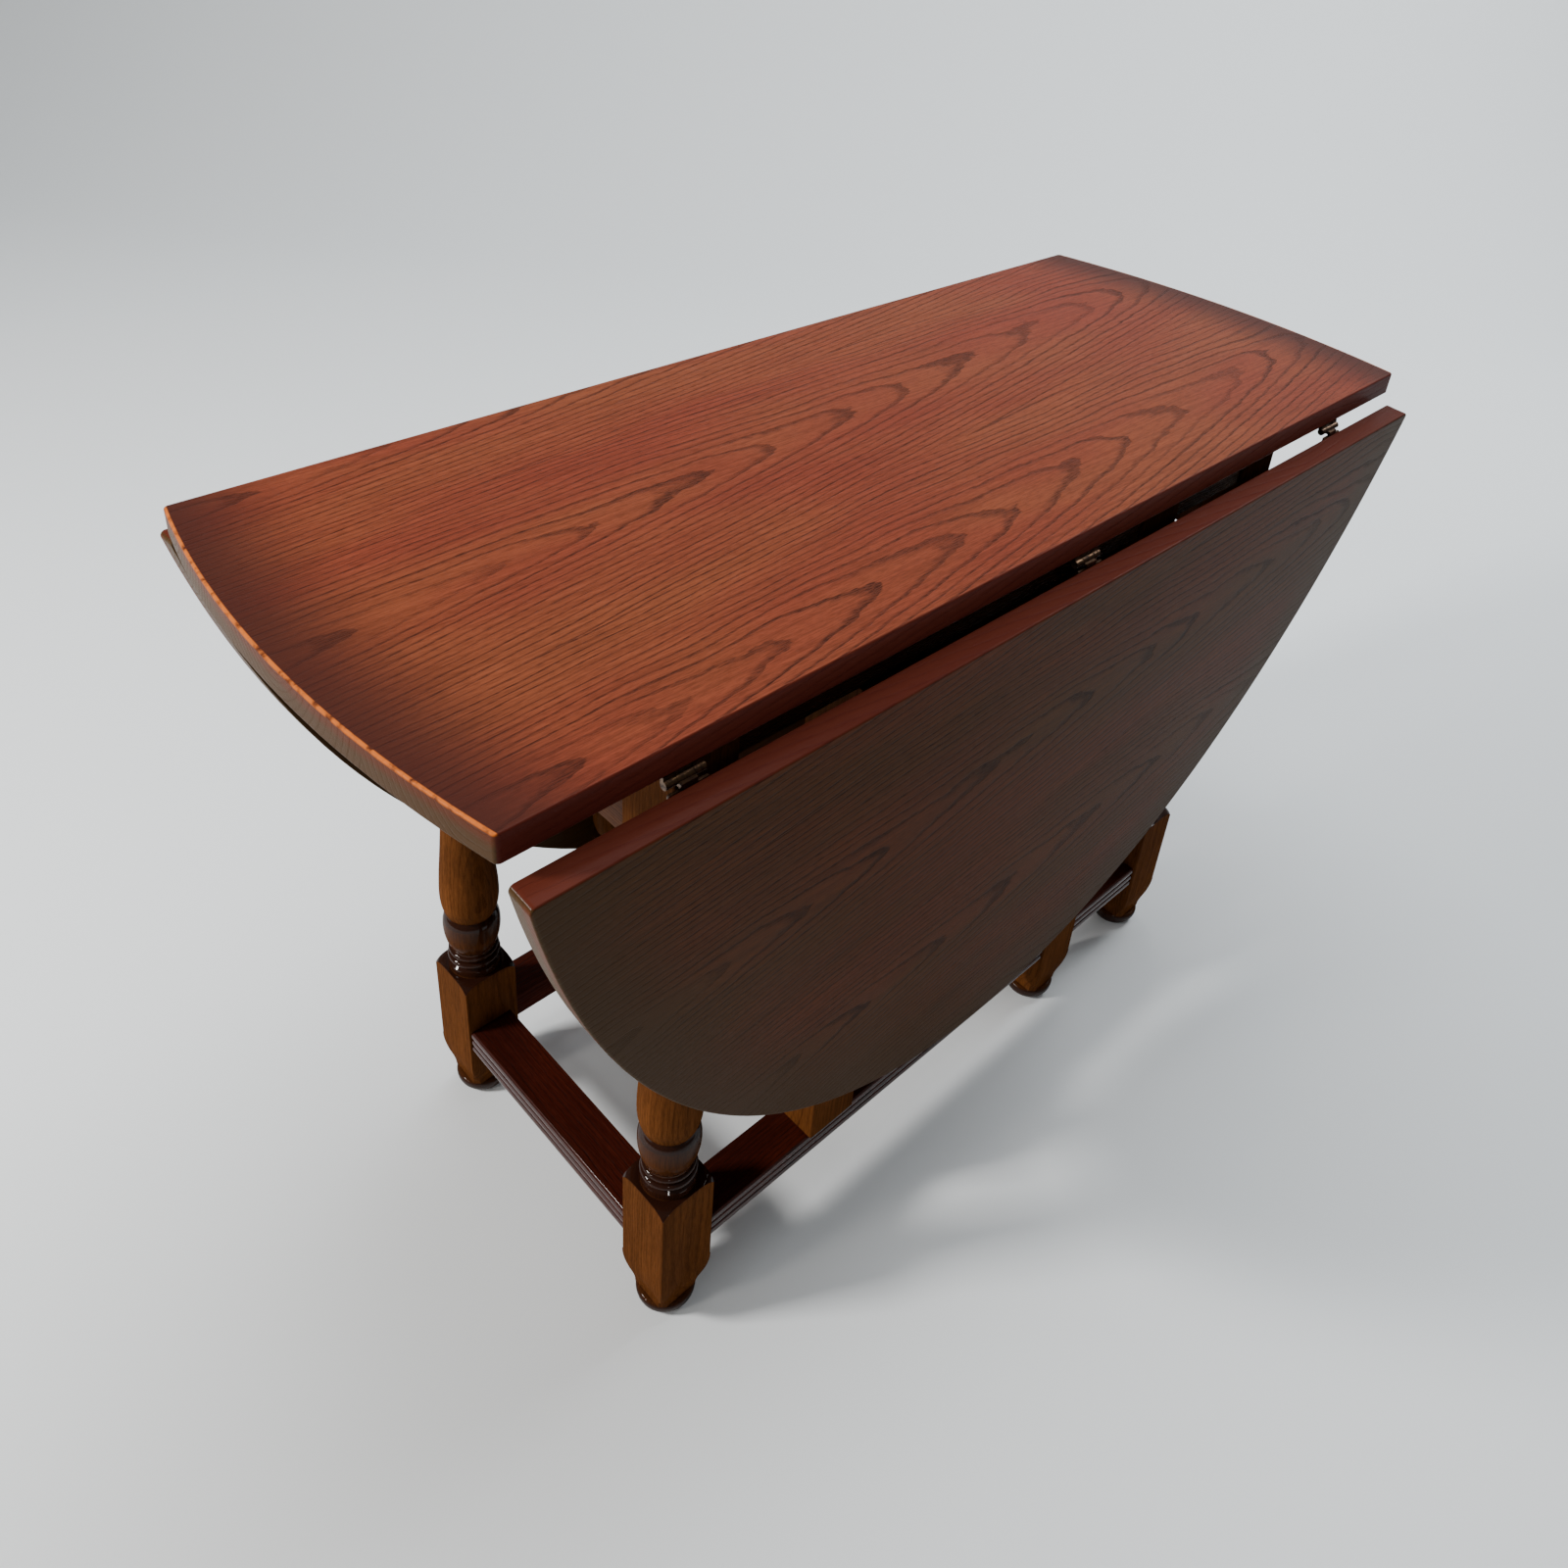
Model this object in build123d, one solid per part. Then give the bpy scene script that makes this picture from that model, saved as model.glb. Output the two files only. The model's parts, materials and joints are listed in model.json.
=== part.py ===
from build123d import *
import math
import os

# Oval drop leaf table on turned legs, with a swinging gate under each leaf.
# Both leaves hang. Millimetres, +Z up. The origin is on the floor under the
# middle of the table, +X runs along the boards, and the front leaf is at -Y.
# Left is -X and right is +X. Front pieces are modelled, and a half turn about
# Z makes the back ones.

# ------------------------------------------------------------ driving sizes

# Whole table
table_height = 737.0
oval_length = 1150.0        # along the boards
oval_width = 1564.0         # across both leaves when they are up

# Boards
board_thickness = 23.0
centre_width = 448.0        # the fixed board, between its two straight edges
leaf_gap = 4.2              # between the fixed board and a raised leaf
corner_radius = 4.5         # plan radius where an edge meets the oval
arris_radius = 1.6

# Frame under the fixed board
end_overhang = 179.0        # oval's end to the legs' outer faces
side_overhang = 38.0        # fixed board's straight edge to the legs' outer faces

# Legs
leg_side = 57.5
leg_edge_radius = 1.4
foot_height = 18.0
foot_floor_radius = 21.0
foot_rim_radius = 28.0
foot_rim_height = 14.0
ankle_half = 22.5           # half the square section on top of the foot
ankle_corner_radius = 28.2  # where the section's corners are turned off, on top of the foot
ankle_top = 62.0            # where the section reaches its full side
ankle_hollow_share = 0.3    # share of the ankle's rise that curves inwards
lower_block_top = 168.0
upper_block_length = 148.0

# Turned part of the legs, from the lower block up
shoulder_length = 9.0
shoulder_radius = 26.6
ring_radius = 25.2          # plain ring between the shoulder and the beads
ring_length = 8.0
root_radius = 22.5          # floor of the grooves
groove_length = 2.2
large_bead_radius = 25.8
large_bead_length = 7.0
small_bead_radius = 24.6
small_bead_length = 5.5
bulb_length = 43.0
bell_length = 50.0
neck_radius = 15.8
neck_length = 41.0          # from the neck to the foot of the bell
collar_radius = 21.0
collar_length = 9.0

# Outlines of the swelling parts: radius, and share of the way up the part
bulb_outline = [(25.8, 0.25), (27.8, 0.55), (27.9, 0.7), (26.4, 0.91), (24.2, 1.0)]
vase_outline = [(23.6, 0.0), (27.4, 0.06), (28.4, 0.12), (27.9, 0.19), (26.3, 0.28),
                (23.9, 0.4), (18.6, 0.75), (15.8, 1.0)]
bell_outline = [(19.3, 0.36), (25.0, 0.78), (22.5, 1.0)]

# Stretchers, laid flat between the legs
stretcher_bottom = 84.0
stretcher_thickness = 28.0
stretcher_width = 46.0
stretcher_set_back = 2.0    # leg's outer face to the crowns of the beads
reed_count = 3
reed_depth = 2.6

# Rails under the top
side_rail_height = 60.0
side_rail_width = 44.0
side_rail_set_back = 3.0
end_rail_height = 148.0
end_rail_thickness = 22.0
end_rail_set_back = 6.0

# Joints of the frame
tenon_length = 18.0
tenon_shoulder = 4.0
stretcher_tenon_width = 25.0
stretcher_tenon_height = 14.0
side_rail_tenon_width = 25.0
end_rail_tenon_thickness = 10.0
mortise_slack = 0.5

# Gates
gate_half_span = 187.0      # pivot post and gate leg each side of the middle
gate_swing = 60.0           # degrees, brings the gate leg under the middle of its leaf
gate_rail_thickness = 22.0
gate_rail_tenon_thickness = 10.0
lower_gate_rail_rise = 6.0  # above the stretcher
lower_gate_rail_height = 42.0
upper_gate_rail_drop = 8.0  # below the side rail
upper_gate_rail_height = 50.0
lap_side_clearance = 2.0
lap_face_clearance = 1.0
lap_end_clearance = 1.5
gate_head_clearance = 0.5   # gate leg's head to the boards' underside
pivot_end_gap = 1.0
pivot_pin_radius = 8.0
pivot_running_clearance = 0.05
pivot_depth = 24.0          # pin's length in each piece

# Gate stops under the leaves
stop_length = 50.0
stop_width = 24.0
stop_thickness = 14.0
stop_touch_gap = 0.3

# Hinges
hinge_spacing = 420.0
hinge_length = 32.0
hinge_plate_width = 30.0
hinge_plate_thickness = 2.0
hinge_pin_drop = 6.0        # pin's axis below the boards' underside
hinge_barrel_radius = 3.3
hinge_pin_radius = 1.5
hinge_running_clearance = 0.05
hinge_end_knuckle = 9.0
knuckle_gap = 0.3
tongue_clearance = 0.5

# Hinge and stop screws
screw_head_radius = 3.4
screw_shank_radius = 1.8
screw_depth = 12.0          # in the wood
screw_slot_width = 1.0
screw_slot_depth = 0.7
screw_row_spacing = 10.0
screw_row_inset = 17.0      # from the hinge's axis
screw_tip_inset = 23.0

# Blocks and screws that hold the top down
glue_block_side = 20.0
glue_block_length = 80.0
glue_block_x = 270.0        # on the side rails
glue_block_y = 62.0         # on the end rails
fixing_head_radius = 4.5
fixing_shank_radius = 2.2
fixing_depth = 13.0         # in the top
fixing_slot_width = 1.2
fixing_slot_depth = 1.0

# ------------------------------------------------------------ worked out

underside = table_height - board_thickness
board_edge = centre_width / 2
leg_outer_x = oval_length / 2 - end_overhang
leg_outer_y = board_edge - side_overhang
leg_x = leg_outer_x - leg_side / 2
leg_y = leg_outer_y - leg_side / 2
leg_inner_x = leg_outer_x - leg_side
leg_inner_y = leg_outer_y - leg_side
upper_block_bottom = underside - upper_block_length
stretcher_top = stretcher_bottom + stretcher_thickness
side_rail_bottom = underside - side_rail_height
hinge_z = underside - hinge_pin_drop
hinge_axis = Axis((0, -board_edge, hinge_z), (1, 0, 0))
lap_plane = -leg_y - lap_face_clearance / 2
lap_half = leg_side / 2 + lap_side_clearance
post_bottom = stretcher_top + pivot_end_gap
post_top = side_rail_bottom - pivot_end_gap
gate_leg_top = underside - gate_head_clearance

parts = {}


def block(x0, x1, y0, y1, z0, z1):
    """A rectangular solid between two opposite corners."""
    middle = Pos((x0 + x1) / 2, (y0 + y1) / 2, (z0 + z1) / 2)
    return middle * Box(abs(x1 - x0), abs(y1 - y0), abs(z1 - z0))


def upright(radius, z0, z1, x=0.0, y=0.0):
    """A cylinder along Z from z0 to z1."""
    return Pos(x, y, (z0 + z1) / 2) * Cylinder(radius, z1 - z0)


def to_back(shape):
    """The back piece that matches a front one."""
    return shape.rotate(Axis.Z, 180)


# ------------------------------------------------------------ screws


def screw(head_radius, shank_radius, head_z, tip_z, slot_width, slot_depth):
    """A slotted countersunk screw pointing up, with its head's face at head_z."""
    cone_height = head_radius - shank_radius
    head = Pos(0, 0, head_z + cone_height / 2) * Cone(head_radius, shank_radius, cone_height)
    shank = upright(shank_radius, head_z + cone_height, tip_z)
    slot = block(-head_radius, head_radius, -slot_width / 2, slot_width / 2,
                 head_z, head_z + slot_depth)
    return head + shank - slot


def screw_hole(head_radius, shank_radius, head_z, tip_z):
    """The countersunk hole that such a screw fills."""
    cone_height = head_radius - shank_radius
    head = Pos(0, 0, head_z + cone_height / 2) * Cone(head_radius, shank_radius, cone_height)
    return head + upright(shank_radius, head_z + cone_height, tip_z)


def wood_screw(head_z):
    """A small screw through a plate or block whose lower face is at head_z."""
    tip_z = underside + screw_depth
    return screw(screw_head_radius, screw_shank_radius, head_z, tip_z,
                 screw_slot_width, screw_slot_depth)


def wood_screw_hole(head_z):
    """The hole for a wood_screw."""
    tip_z = underside + screw_depth
    return screw_hole(screw_head_radius, screw_shank_radius, head_z, tip_z)


# ------------------------------------------------------------ hinges


def hinge_screw_spots(side):
    """Plan positions of one plate's screws about the hinge; side is +1 on the fixed board."""
    row = side * screw_row_inset
    return [(-screw_row_spacing, row), (screw_row_spacing, row), (0, side * screw_tip_inset)]


def hinge_plate(side, knuckles, edge):
    """A plate about the hinge's middle, with a barrel round the pin over each X span of knuckles.

    The plate starts at edge from the pin, and only its tongues reach the barrel.
    """
    top = hinge_pin_drop
    under = hinge_pin_drop - hinge_plate_thickness
    half = hinge_length / 2
    plate = block(-half, half, side * edge, side * hinge_plate_width, under, top)
    for x0, x1 in knuckles:
        tongue = block(x0, x1, 0, side * (edge + 1), under, top)
        web = block(x0, x1, 0, side * hinge_barrel_radius, 0, under)
        barrel = Pos((x0 + x1) / 2, 0, 0) * Rot(0, 90, 0) * Cylinder(hinge_barrel_radius, x1 - x0)
        plate += tongue + web + barrel
    bore = hinge_pin_radius + hinge_running_clearance
    plate -= Rot(0, 90, 0) * Cylinder(bore, hinge_length + 2)
    for x, y in hinge_screw_spots(side):
        plate -= Pos(x, y, 0) * Pos(0, 0, -hinge_z) * wood_screw_hole(hinge_z + under)
    return plate


def at_hinge(x, shape):
    """Moves a shape from the hinge's own origin to the front hinge at x."""
    return Pos(x, -board_edge, hinge_z) * shape


half_hinge = hinge_length / 2
middle_half = half_hinge - hinge_end_knuckle - knuckle_gap
end_knuckles = [(-half_hinge, -half_hinge + hinge_end_knuckle),
                (half_hinge - hinge_end_knuckle, half_hinge)]
top_plate = hinge_plate(1, end_knuckles, tongue_clearance)
leaf_plate = hinge_plate(-1, [(-middle_half, middle_half)], leaf_gap)
hinge_pin = Rot(0, 90, 0) * Cylinder(hinge_pin_radius, hinge_length)
hinge_places = {"left": -hinge_spacing, "middle": 0.0, "right": hinge_spacing}

plate_under = hinge_z + hinge_pin_drop - hinge_plate_thickness
top_screw_spots = []
leaf_screw_spots = []
for hinge_x in hinge_places.values():
    for x, y in hinge_screw_spots(1):
        top_screw_spots.append((hinge_x + x, -board_edge + y))
    for x, y in hinge_screw_spots(-1):
        leaf_screw_spots.append((hinge_x + x, -board_edge + y))


def screw_group(spots):
    """Wood screws through the hinge plates at these plan positions."""
    return Compound(children=[Pos(x, y, 0) * wood_screw(plate_under) for x, y in spots])


# ------------------------------------------------------------ boards


def oval_board(y0, y1):
    """The part of the oval top between y0 and y1, with softened corners and arrises."""
    strip = Pos(0, (y0 + y1) / 2) * Rectangle(oval_length * 2, y1 - y0)
    outline = Ellipse(oval_length / 2, oval_width / 2) & strip
    outline = fillet(outline.vertices(), corner_radius)
    board = Pos(0, 0, underside) * extrude(outline, board_thickness)
    flat_faces = board.faces().filter_by(Axis.Z)
    return fillet(flat_faces.edges(), arris_radius)


centre_top = oval_board(-board_edge, board_edge)
raised_leaf = oval_board(-oval_width, -board_edge - leaf_gap)

# A free leaf hangs with its centre of mass straight under the hinge pins.
leaf_centre = raised_leaf.center(CenterOf.MASS)
hang_tilt = math.degrees(math.atan2(leaf_centre.Z - hinge_z, -board_edge - leaf_centre.Y))
drop_angle = 90 + hang_tilt

# ------------------------------------------------------------ gate stops

# The gate leg's leading face meets this block when the leg is under the middle of the leaf.
stop_reach = leg_side / 2 + stop_touch_gap + stop_width / 2
gate_stop = block(-stop_length / 2, stop_length / 2, -stop_width / 2, stop_width / 2,
                  underside - stop_thickness, underside)
stop_screw_spots = [(-stop_length / 4, 0), (stop_length / 4, 0)]
stop_screws = []
stop_holes = []
for x, y in stop_screw_spots:
    stop_screws.append(Pos(x, y, 0) * wood_screw(underside - stop_thickness))
    stop_holes.append(Pos(x, y, 0) * wood_screw_hole(underside - stop_thickness))
open_gate = Pos(-gate_half_span, -leg_y, 0) * Rot(0, 0, -gate_swing)
stop_place = open_gate * Pos(2 * gate_half_span, -stop_reach, 0)
raised_stop = stop_place * (gate_stop - stop_holes)
raised_stop_screws = Compound(children=[stop_place * piece for piece in stop_screws])

# ------------------------------------------------------------ leaf and hinge nodes

for x, y in top_screw_spots:
    hole = Pos(x, y, 0) * wood_screw_hole(plate_under)
    centre_top -= hole
    centre_top -= to_back(hole)
for x, y in leaf_screw_spots:
    raised_leaf -= Pos(x, y, 0) * wood_screw_hole(plate_under)
for hole in stop_holes:
    raised_leaf -= stop_place * hole


def add_pair(name, front_shape):
    """Adds a front node and the back node that matches it."""
    parts["front_" + name] = front_shape
    parts["back_" + name] = to_back(front_shape)


def drop(shape):
    """Swings a leaf's piece from the raised place to the hanging one."""
    return shape.rotate(hinge_axis, drop_angle)


add_pair("leaf", drop(raised_leaf))
add_pair("gate_stop", drop(raised_stop))
add_pair("gate_stop_screws", drop(raised_stop_screws))
add_pair("top_hinge_screws", screw_group(top_screw_spots))
add_pair("leaf_hinge_screws", drop(screw_group(leaf_screw_spots)))
for place, hinge_x in hinge_places.items():
    add_pair("hinge_" + place + "_top_plate", at_hinge(hinge_x, top_plate))
    add_pair("hinge_" + place + "_leaf_plate", drop(at_hinge(hinge_x, leaf_plate)))
    add_pair("hinge_" + place + "_pin", at_hinge(hinge_x, hinge_pin))

# ------------------------------------------------------------ stretchers and rails


def reeded_section(width, thickness):
    """A stretcher's section: X from 0 at the plain edge to width at the beads' crowns, Y up."""
    flat = width - reed_depth
    reed = thickness / reed_count
    outline = [Line((flat, 0), (0, 0)), Line((0, 0), (0, thickness)),
               Line((0, thickness), (flat, thickness))]
    for i in range(reed_count):
        low = i * reed
        outline.append(ThreePointArc((flat, low), (width, low + reed / 2), (flat, low + reed)))
    return make_face(outline)


def stretcher(half_length):
    """A stretcher along X about the origin, beads towards -Y, from z = 0 up."""
    section = Plane.YZ * reeded_section(stretcher_width, stretcher_thickness)
    section = section.mirror(Plane.XZ)
    return extrude(section, half_length, dir=(1, 0, 0), both=True)


def end_tenons(shoulder, y0, y1, z0, z1, length):
    """A pair of tenons beyond the shoulders of a piece that runs along X."""
    right = block(shoulder, shoulder + length, y0, y1, z0, z1)
    left = block(-shoulder - length, -shoulder, y0, y1, z0, z1)
    return right + left


def with_tenons(body, shoulder, y0, y1, z0, z1):
    """The piece with its tenons, and the mortises that they need."""
    tenons = end_tenons(shoulder, y0, y1, z0, z1, tenon_length)
    mortises = end_tenons(shoulder, y0, y1, z0, z1, tenon_length + mortise_slack)
    return body + tenons, mortises


stretcher_tenon_z = stretcher_bottom + (stretcher_thickness - stretcher_tenon_height) / 2

# Front stretcher and the front side rail, along X
stretcher_face = -leg_outer_y + stretcher_set_back
front_stretcher = Pos(0, stretcher_face + stretcher_width, stretcher_bottom) * stretcher(leg_inner_x)
front_stretcher, side_stretcher_mortises = with_tenons(
    front_stretcher, leg_inner_x, stretcher_face + tenon_shoulder,
    stretcher_face + tenon_shoulder + stretcher_tenon_width,
    stretcher_tenon_z, stretcher_tenon_z + stretcher_tenon_height)

rail_face = -leg_outer_y + side_rail_set_back
front_rail = block(-leg_inner_x, leg_inner_x, rail_face, rail_face + side_rail_width,
                   side_rail_bottom, underside)
front_rail, side_rail_mortises = with_tenons(
    front_rail, leg_inner_x, rail_face + tenon_shoulder,
    rail_face + tenon_shoulder + side_rail_tenon_width,
    side_rail_bottom + 2 * tenon_shoulder, underside - 2 * tenon_shoulder)

# Left stretcher and end rail, made along X and turned to run along Y
end_stretcher_face = -leg_outer_x + stretcher_set_back
end_stretcher = Pos(0, end_stretcher_face + stretcher_width, stretcher_bottom) * stretcher(leg_inner_y)
end_stretcher, end_stretcher_mortises = with_tenons(
    end_stretcher, leg_inner_y, end_stretcher_face + tenon_shoulder,
    end_stretcher_face + tenon_shoulder + stretcher_tenon_width,
    stretcher_tenon_z, stretcher_tenon_z + stretcher_tenon_height)

end_rail_face = -leg_outer_x + end_rail_set_back
end_rail_cheek = (end_rail_thickness - end_rail_tenon_thickness) / 2
end_rail = block(-leg_inner_y, leg_inner_y, end_rail_face, end_rail_face + end_rail_thickness,
                 underside - end_rail_height, underside)
end_rail, end_rail_mortises = with_tenons(
    end_rail, leg_inner_y, end_rail_face + end_rail_cheek,
    end_rail_face + end_rail_cheek + end_rail_tenon_thickness,
    underside - end_rail_height + 3 * tenon_shoulder, underside - 3 * tenon_shoulder)

left_stretcher = end_stretcher.rotate(Axis.Z, -90)
left_end_rail = end_rail.rotate(Axis.Z, -90)
end_mortises = (end_stretcher_mortises + end_rail_mortises).rotate(Axis.Z, -90)
side_mortises = side_stretcher_mortises + side_rail_mortises
all_mortises = [side_mortises, to_back(side_mortises), end_mortises, to_back(end_mortises)]

# Laps for the gate leg, and bores for the gate's pivot pins
lap_x0 = gate_half_span - lap_half
lap_x1 = gate_half_span + lap_half
lap_floor = lap_plane + lap_face_clearance
front_stretcher -= block(lap_x0, lap_x1, -leg_outer_y, lap_floor, stretcher_bottom, stretcher_top)
front_rail -= block(lap_x0, lap_x1, -leg_outer_y, lap_floor, side_rail_bottom, underside)
pivot_bore = pivot_pin_radius + pivot_running_clearance
lower_bore = (stretcher_top - pivot_depth, stretcher_top)
upper_bore = (side_rail_bottom, side_rail_bottom + pivot_depth)
front_stretcher -= upright(pivot_bore, *lower_bore, -gate_half_span, -leg_y)
front_rail -= upright(pivot_bore, *upper_bore, -gate_half_span, -leg_y)

parts["front_stretcher"] = front_stretcher
parts["back_stretcher"] = to_back(front_stretcher)
parts["left_stretcher"] = left_stretcher
parts["right_stretcher"] = to_back(left_stretcher)
parts["front_top_rail"] = front_rail
parts["back_top_rail"] = to_back(front_rail)
parts["left_end_rail"] = left_end_rail
parts["right_end_rail"] = to_back(left_end_rail)

# ------------------------------------------------------------ legs


def bead(root, crown, z0, z1):
    """The half-round edge of a turned bead."""
    return ThreePointArc((root, 0, z0), (crown, 0, (z0 + z1) / 2), (root, 0, z1))


def shoulder(corner, ring):
    """The convex quarter round from a block's corner in to a ring, both as (radius, z)."""
    lean = math.sqrt(0.5)
    crest = (ring[0] + lean * (corner[0] - ring[0]), 0, corner[1] + lean * (ring[1] - corner[1]))
    return ThreePointArc((corner[0], 0, corner[1]), crest, (ring[0], 0, ring[1]))


def turned_profile(z0, z1):
    """The lathe's line from the lower block at z0 to the upper block at z1, as edges."""
    block_radius = leg_side / math.sqrt(2)
    edges = []
    pen = [block_radius, z0]

    def move(edge, radius, z):
        edges.append(edge)
        pen[:] = [radius, z]

    def line(radius, rise):
        z = pen[1] + rise
        move(Line((pen[0], 0, pen[1]), (radius, 0, z)), radius, z)

    def groove():
        line(root_radius, groove_length)

    def swelling(outline, length):
        z = pen[1]
        points = [(radius, 0, z + share * length) for radius, share in outline]
        move(Spline([(pen[0], 0, z)] + points), outline[-1][0], z + length)

    def add_bead(root, crown, length):
        z = pen[1]
        move(bead(root, crown, z, z + length), root, z + length)

    # Shoulder, plain ring, two beads and the bulb above the lower block
    move(shoulder((block_radius, z0), (shoulder_radius, z0 + shoulder_length)),
         shoulder_radius, z0 + shoulder_length)
    line(ring_radius, 0)
    line(ring_radius, ring_length)
    groove()
    line(root_radius, groove_length)
    add_bead(root_radius, large_bead_radius, large_bead_length)
    groove()
    add_bead(root_radius, small_bead_radius, small_bead_length)
    groove()
    swelling(bulb_outline, bulb_length)

    # Long vase that thins to the neck
    line(vase_outline[0][0], groove_length / 2)
    swelling(vase_outline[1:], z1 - shoulder_length - bell_length - neck_length - pen[1])

    # Collar, bell, two beads and the shoulder under the upper block
    line(neck_radius, groove_length)
    add_bead(neck_radius, collar_radius, collar_length)
    line(neck_radius, groove_length)
    swelling(bell_outline, bell_length)
    groove()
    add_bead(root_radius, small_bead_radius, small_bead_length)
    groove()
    add_bead(root_radius, large_bead_radius, large_bead_length)
    groove()
    line(ring_radius, 0)
    line(ring_radius, z1 - shoulder_length - pen[1])
    line(shoulder_radius, 0)
    move(shoulder((block_radius, z1), (shoulder_radius, z1 - shoulder_length)), block_radius, z1)
    edges.append(Line((block_radius, 0, z1), (0, 0, z1)))
    edges.append(Line((0, 0, z1), (0, 0, z0)))
    edges.append(Line((0, 0, z0), (block_radius, 0, z0)))
    return edges


def square_post(z0, z1):
    """The leg's square stock with eased long edges."""
    section = RectangleRounded(leg_side, leg_side, leg_edge_radius)
    return Pos(0, 0, z0) * extrude(section, z1 - z0)


def s_taper(low, high):
    """An S line in the XZ plane, from x = low on the foot out to x = high at the ankle's top."""
    turn_x = low + ankle_hollow_share * (high - low)
    turn_z = foot_height + ankle_hollow_share * (ankle_top - foot_height)
    hollow = TangentArc((low, 0, foot_height), (turn_x, 0, turn_z), tangent=(0, 0, 1))
    swell = TangentArc((high, 0, ankle_top), (turn_x, 0, turn_z), tangent=(0, 0, -1))
    return [hollow, swell]


def ankle():
    """The square S taper from the foot up to the full section, its corners turned off below."""
    half = leg_side / 2
    right = s_taper(ankle_half, half)
    left = [edge.mirror(Plane.YZ) for edge in right]
    outline = right + left + [Line((half, 0, ankle_top), (-half, 0, ankle_top)),
                              Line((-ankle_half, 0, foot_height), (ankle_half, 0, foot_height))]
    one_way = extrude(make_face(outline), leg_side, dir=(0, 1, 0), both=True)
    corner = leg_side / math.sqrt(2)
    turned = s_taper(ankle_corner_radius, corner)
    turned += [Line((corner, 0, ankle_top), (0, 0, ankle_top)),
               Line((0, 0, ankle_top), (0, 0, foot_height)),
               Line((0, 0, foot_height), (ankle_corner_radius, 0, foot_height))]
    return one_way & one_way.rotate(Axis.Z, 90) & revolve(make_face(turned), Axis.Z)


def foot():
    """The round turned foot, narrower on the floor than at its rim."""
    bowl = TangentArc((foot_rim_radius, 0, foot_rim_height), (foot_floor_radius, 0, 0),
                      tangent=(0, 0, -1))
    rim = TangentArc((foot_rim_radius, 0, foot_rim_height),
                     (foot_rim_radius - (foot_height - foot_rim_height), 0, foot_height),
                     tangent=(0, 0, 1))
    outline = [bowl, rim, Line(rim @ 1, (0, 0, foot_height)),
               Line((0, 0, foot_height), (0, 0, 0)), Line((0, 0, 0), (foot_floor_radius, 0, 0))]
    return revolve(make_face(outline), Axis.Z)


turned_stock = revolve(make_face(turned_profile(lower_block_top, upper_block_bottom)), Axis.Z)
turned_part = turned_stock & square_post(lower_block_top, upper_block_bottom)


def turned_post(z0, z1):
    """A square post from z0 to z1 with the leg's turning between its blocks."""
    return square_post(z0, lower_block_top) + turned_part + square_post(upper_block_bottom, z1)


def whole_leg(z1):
    """A leg from the floor up to z1, about the origin."""
    return foot() + ankle() + turned_post(ankle_top, z1)


corner_leg = whole_leg(underside)
for side_name, side_x in (("left", -leg_x), ("right", leg_x)):
    for row_name, row_y in (("front", -leg_y), ("back", leg_y)):
        parts["leg_" + row_name + "_" + side_name] = Pos(side_x, row_y, 0) * corner_leg - all_mortises

# ------------------------------------------------------------ gates

gate_inner = gate_half_span - leg_side / 2
gate_rail_y0 = -leg_y - gate_rail_thickness / 2
gate_rail_y1 = -leg_y + gate_rail_thickness / 2
gate_tenon_y0 = -leg_y - gate_rail_tenon_thickness / 2
gate_tenon_y1 = -leg_y + gate_rail_tenon_thickness / 2


def gate_rail(z0, z1):
    """A gate rail between post and leg with its tenons, and the mortises they need."""
    body = block(-gate_inner, gate_inner, gate_rail_y0, gate_rail_y1, z0, z1)
    return with_tenons(body, gate_inner, gate_tenon_y0, gate_tenon_y1,
                       z0 + tenon_shoulder, z1 - tenon_shoulder)


lower_rail_z0 = stretcher_top + lower_gate_rail_rise
lower_rail, lower_mortises = gate_rail(lower_rail_z0, lower_rail_z0 + lower_gate_rail_height)
upper_rail_z1 = side_rail_bottom - upper_gate_rail_drop
upper_rail, upper_mortises = gate_rail(upper_rail_z1 - upper_gate_rail_height, upper_rail_z1)

lower_pin = upright(pivot_pin_radius, lower_bore[0] + pivot_end_gap, post_bottom + pivot_depth,
                    -gate_half_span, -leg_y)
upper_pin = upright(pivot_pin_radius, post_top - pivot_depth, upper_bore[1] - pivot_end_gap,
                    -gate_half_span, -leg_y)

gate_post = Pos(-gate_half_span, -leg_y, 0) * turned_post(post_bottom, post_top)
gate_post -= [lower_mortises, upper_mortises, lower_pin, upper_pin]

gate_leg = Pos(gate_half_span, -leg_y, 0) * whole_leg(gate_leg_top)
gate_leg -= [lower_mortises, upper_mortises]
lap_back = -leg_inner_y + lap_face_clearance
gate_leg -= block(lap_x0, lap_x1, lap_plane, lap_back,
                  stretcher_bottom - lap_end_clearance, stretcher_top + lap_end_clearance)
gate_leg -= block(lap_x0, lap_x1, lap_plane, lap_back,
                  side_rail_bottom - lap_end_clearance, underside)

add_pair("gate_post", gate_post)
add_pair("gate_leg", gate_leg)
add_pair("gate_lower_rail", lower_rail)
add_pair("gate_upper_rail", upper_rail)
add_pair("gate_lower_pin", lower_pin)
add_pair("gate_upper_pin", upper_pin)

# ------------------------------------------------------------ blocks that hold the top down

block_bottom = underside - glue_block_side
rail_inner_face = rail_face + side_rail_width
end_rail_inner_face = end_rail_face + end_rail_thickness
half_block = glue_block_length / 2
glue_blocks = []
fixing_screws = []
fixing_tip = underside + fixing_depth


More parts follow.
